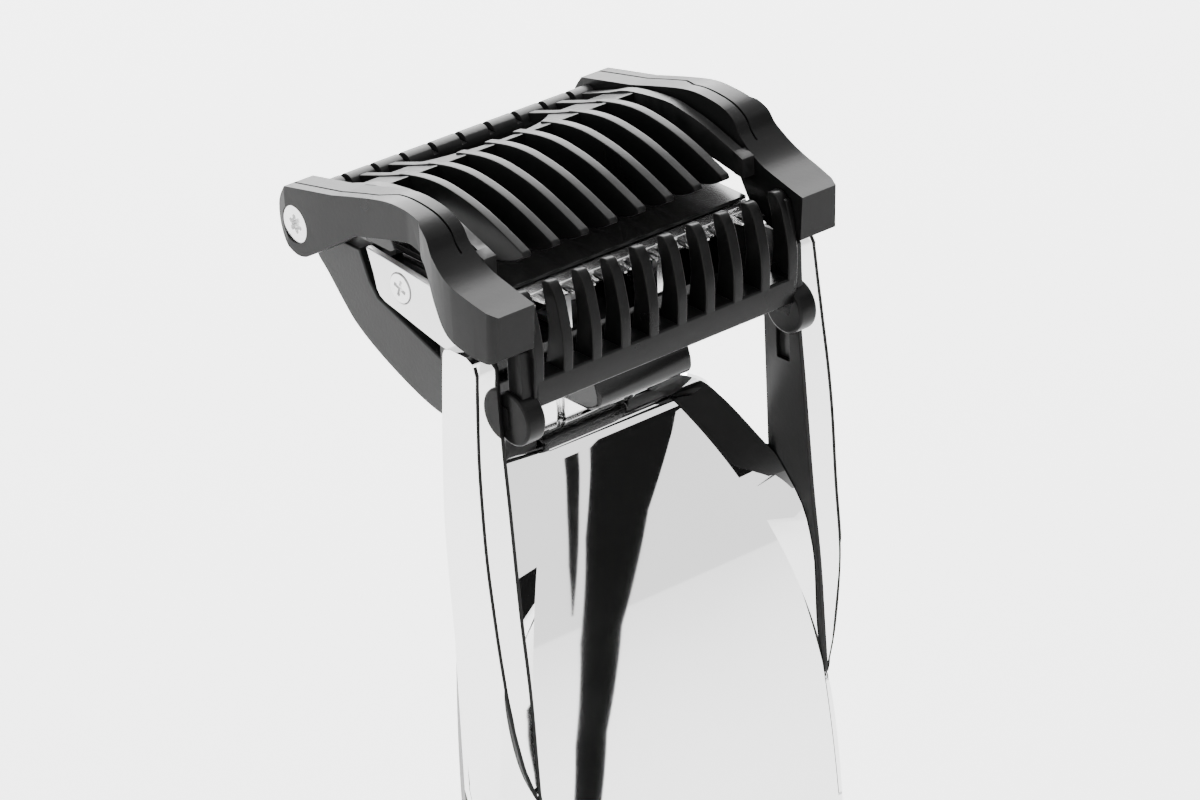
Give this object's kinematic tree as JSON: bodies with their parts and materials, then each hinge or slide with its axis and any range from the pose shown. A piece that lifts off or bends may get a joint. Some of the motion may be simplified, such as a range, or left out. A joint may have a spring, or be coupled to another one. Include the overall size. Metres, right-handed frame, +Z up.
{
  "type": "hair clipper",
  "caption": "Upright cordless hair and beard clipper with a wide T head, a mirror-metal forked housing, a dark grip and a height-adjustable comb over the blade.",
  "frame": {"origin": "on the flat base, on the handle's mid-plane, 6.2 mm in front of the motor axis", "axes": "+Z up the handle towards the comb, -Y the way the blade faces, X across the handle"},
  "size_m": [0.048, 0.0411, 0.18],
  "materials": {
    "chrome_housing": "mirror-bright plated metal",
    "grip_plastic": "fine satin, dark grey",
    "comb_plastic": "satin moulded black",
    "gloss_black": "polished black",
    "inner_plastic": "plain moulded",
    "white_plastic": "self-lubricating acetal",
    "battery_sleeve": "shrink sleeve",
    "board_green": "solder mask",
    "motor_can": "drawn steel can",
    "silver_plate": "fine satin",
    "steel_hardware": "bright zinc",
    "contact_brass": "plated",
    "blade_steel": "ground"
  },
  "bodies": {
    "handle": {"housing_front": "chrome_housing", "housing_rear": "chrome_housing", "grip_front": "grip_plastic", "grip_rear": "grip_plastic", "base_cap": "grip_plastic", "arm_cover_left": "chrome_housing", "arm_cover_right": "chrome_housing", "arm_rail_left": "comb_plastic", "arm_rail_right": "comb_plastic", "neck": "gloss_black", "neck_collar": "chrome_housing", "chassis": "inner_plastic", "battery": "battery_sleeve", "circuit_board": "board_green", "motor": "motor_can", "motor_screws": "steel_hardware", "housing_screws": "steel_hardware", "charging_contacts": "contact_brass", "detent_spring": "steel_hardware", "head_frame": "gloss_black", "head_rear_shell": "grip_plastic", "head_top_cover": "gloss_black", "head_side_plate_left": "silver_plate", "head_side_plate_right": "silver_plate", "side_plate_screws": "steel_hardware", "fixed_blade": "blade_steel", "blade_screws": "steel_hardware", "blade_spring": "steel_hardware", "wheel_axle": "steel_hardware", "button_spring": "steel_hardware"},
    "cutter": {"moving_blade": "blade_steel", "blade_yoke": "white_plastic"},
    "rotor": {"motor_shaft": "steel_hardware", "eccentric": "white_plastic"},
    "comb": {"comb_ribs": "comb_plastic", "comb_side_frame_left": "comb_plastic", "comb_side_frame_right": "comb_plastic", "comb_rear_bar": "comb_plastic", "comb_screws": "steel_hardware", "front_comb": "comb_plastic", "lift_bar_left": "inner_plastic", "lift_bar_right": "inner_plastic", "lift_bridge": "inner_plastic"},
    "zoom_wheel": {"zoom_wheel": "comb_plastic", "wheel_pinion": "inner_plastic"},
    "power_button": {"power_button": "comb_plastic"}
  },
  "joints": [
    {"name": "comb_lift", "type": "slide", "parent": "handle", "child": "comb", "axis": [0, 0, 1], "range_m": [0, 0.008]},
    {"name": "zoom_wheel_turn", "type": "hinge", "parent": "handle", "child": "zoom_wheel", "pos_m": [0, -0.0075, 0.084], "axis": [1, 0, 0], "range_deg": [0, 102]},
    {"name": "blade_stroke", "type": "slide", "parent": "handle", "child": "cutter", "axis": [1, 0, 0], "range_m": [-0.0012, 0.0012]},
    {"name": "motor_spin", "type": "hinge", "parent": "handle", "child": "rotor", "pos_m": [0, 0.0062, 0.12], "axis": [0, 0, 1], "continuous": true},
    {"name": "button_press", "type": "slide", "parent": "handle", "child": "power_button", "axis": [0, 1, 0], "range_m": [0, 0.0006], "stiffness_N_per_m": 400}
  ],
  "couplings": [
    {"joint": "zoom_wheel_turn", "follows": "comb_lift", "rad_per_m": 222.22}
  ]
}
